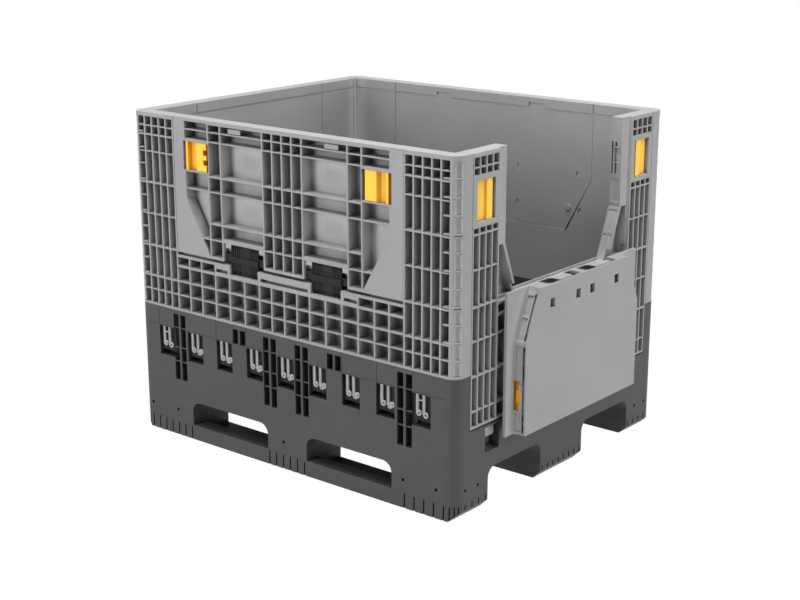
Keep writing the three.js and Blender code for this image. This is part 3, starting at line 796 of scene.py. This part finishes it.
def clipBlock(place):
    (outer, inner), (low, high) = rimClip["depth"], rimClip["heights"]
    start, end = place - rimClip["half"], place + rimClip["half"]
    return block((start, outer, low), (end, inner, high), rimClip["bevel"])


def doorLip(look):
    half = look["half"] - rimLip["doorEnd"]
    low, middle, high = rimLip["low"], rimLip["middle"], rimLip["high"]
    if not look["clip"]:
        return [lipBlock(-half, half, low, high)]
    start, end = look["clip"] - clipSlot["half"], look["clip"] + clipSlot["half"]
    parts = [lipBlock(-half, half, middle, high), lipBlock(-start, start, low, middle)]
    parts += bothEnds([lipBlock(end, half, low, middle)])
    return parts + bothEnds([clipBlock(look["clip"])])


for look in doorways.values():
    lip = joinAs("lips", doorLip(look))
    for side in look["sides"]:
        if not sides[side]["opened"]:
            settle(copyOf(lip, f"{side}_door_rim_lip"), side, "light_grey_plastic", "door")
    bpy.data.objects.remove(lip)
    start = look["half"] + rimLip["wallStart"]
    lips = bothEnds([lipBlock(start, look["lipEnd"], rimLip["low"], rimLip["high"])])
    settlePair(joinAs("lips", lips), look["sides"], "wall_rim_lip", "light_grey_plastic", "wall")
print("rim lips made")

# recesses in the jambs of the doorways, the top ones around the strikes of the latches
jambGap = 1.5
strikeRecesses = [((36, 42), (812, 905)), ((24, 31), (890, 905)), ((24, 31), (812, 845))]
strikeReach = 8
jambRecess = dict(depth=(13.5, 41), reach=3.2, above=12, top=800)
jambSlants = [((0.52, 0.94), (13.5, 41), 3.2), ((0.08, 0.46), (13.5, 24), 4), ((0.08, 0.46), (29, 41), 4)]
wallSlot = dict(half=5.5, halfHeight=8)


def jambCutters(look):
    wide = dict(look, half=look["half"] + jambGap, bottomHalf=look["bottomHalf"] + jambGap)
    edge = wide["half"]
    parts = []
    for (outer, inner), (low, high) in strikeRecesses:
        parts.append(block((edge - edgeOverlap, outer, low), (edge + strikeReach, inner, high), 0))
    outer, inner = jambRecess["depth"]
    foot = (edge - edgeOverlap, outer, look["kink"] + jambRecess["above"])
    parts.append(block(foot, (edge + jambRecess["reach"], inner, jambRecess["top"]), 0))
    for shares, depth, inset in jambSlants:
        parts.append(slantCutter(wide, shares, edgeOverlap, inset, depth))
    for x, z in look["wallSlots"]:
        low = (x - wallSlot["half"], skinDepth, z - wallSlot["halfHeight"])
        parts.append(block(low, (x + wallSlot["half"], pastSkin, z + wallSlot["halfHeight"]), 0))
    return bothEnds(parts)


for look in doorways.values():
    for side in look["sides"]:
        cutters = [putOn(part, side, "wall") for part in jambCutters(look)]
        carve(wallNode[side], cutters, wallBody[side], "light_grey_plastic")
print("walls carved")

# the link nodes of the frame, which stay as they are
for piece in nodes.values():
    if piece.hide_render:
        continue
    piece.data.materials.clear()
    piece.data.materials.append(plastics["black_plastic"])
    softEdges(piece)
print("frame nodes dressed")

# studio
studio = dict(floor=0.8, floorRough=0.9, size=16.0, ambient=0.3, aim=(0, 0, 0.5), lamps=[
    ("frontLamp", (-1.7, -5.2, 2.0), (1.9, 1.9), 150),
    ("rightLamp", (5.0, 2.3, 2.0), (2.0, 2.0), 95),
    ("topLamp", (0.8, -0.5, 4.4), (3.0, 2.6), 240),
])


def seenDirectly(tree):
    start = Wire(tree, None)
    path = start.node("ShaderNodeLightPath")
    outputs = path.socket.node.outputs
    kinds = ("Camera", "Glossy", "Transmission")
    camera, glossy, passing = [Wire(tree, outputs[f"Is {kind} Ray"]) for kind in kinds]
    return start.maths("MAXIMUM", camera, start.maths("MAXIMUM", glossy, passing))


clearSelection()
bpy.ops.mesh.primitive_plane_add(size=studio["size"], location=(0, 0, 0))
floor = bpy.context.object
floor.name = "studio_floor"
floorLook = bpy.data.materials.new("studioFloor")
floorLook.use_nodes = True
tree = floorLook.node_tree
shader = tree.nodes["Principled BSDF"]
shader.inputs["Base Color"].default_value = (studio["floor"],) * 3 + (1,)
shader.inputs["Roughness"].default_value = studio["floorRough"]
white = tree.nodes.new("ShaderNodeEmission")
blend = tree.nodes.new("ShaderNodeMixShader")
tree.links.new(seenDirectly(tree).socket, blend.inputs["Fac"])
tree.links.new(shader.outputs["BSDF"], blend.inputs[1])
tree.links.new(white.outputs["Emission"], blend.inputs[2])
tree.links.new(blend.outputs["Shader"], tree.nodes["Material Output"].inputs["Surface"])
floor.data.materials.append(floorLook)

world = bpy.data.worlds.new("studioWorld")
bpy.context.scene.world = world
world.use_nodes = True
sky = world.node_tree
strength = studio["ambient"] + seenDirectly(sky) * (1.0 - studio["ambient"])
sky.links.new(strength.socket, sky.nodes["Background"].inputs["Strength"])
sky.nodes["Background"].inputs["Color"].default_value = (1, 1, 1, 1)

for name, place, size, power in studio["lamps"]:
    lamp = bpy.data.lights.new(name, "AREA")
    lamp.shape = "RECTANGLE"
    lamp.size, lamp.size_y = size
    lamp.energy = power
    holder = bpy.data.objects.new(name, lamp)
    holder.location = place
    holder.rotation_euler = (Vector(studio["aim"]) - Vector(place)).to_track_quat("-Z", "Y").to_euler()
    bpy.context.scene.collection.objects.link(holder)

# the camera as it was fitted to the photo
view = dict(azimuth=39.247, elevation=15.818, lens=68.75, sensor=36, place=(2.8249, -3.45, 1.6584))
eye = bpy.data.cameras.new("camera")
eye.lens = view["lens"]
eye.sensor_width = view["sensor"]
holder = bpy.data.objects.new("camera", eye)
holder.location = view["place"]
holder.rotation_euler = (math.radians(90 - view["elevation"]), 0, math.radians(view["azimuth"]))
bpy.context.scene.collection.objects.link(holder)
bpy.context.scene.camera = holder
bpy.context.scene.view_settings.view_transform = "Standard"
print("studio made")
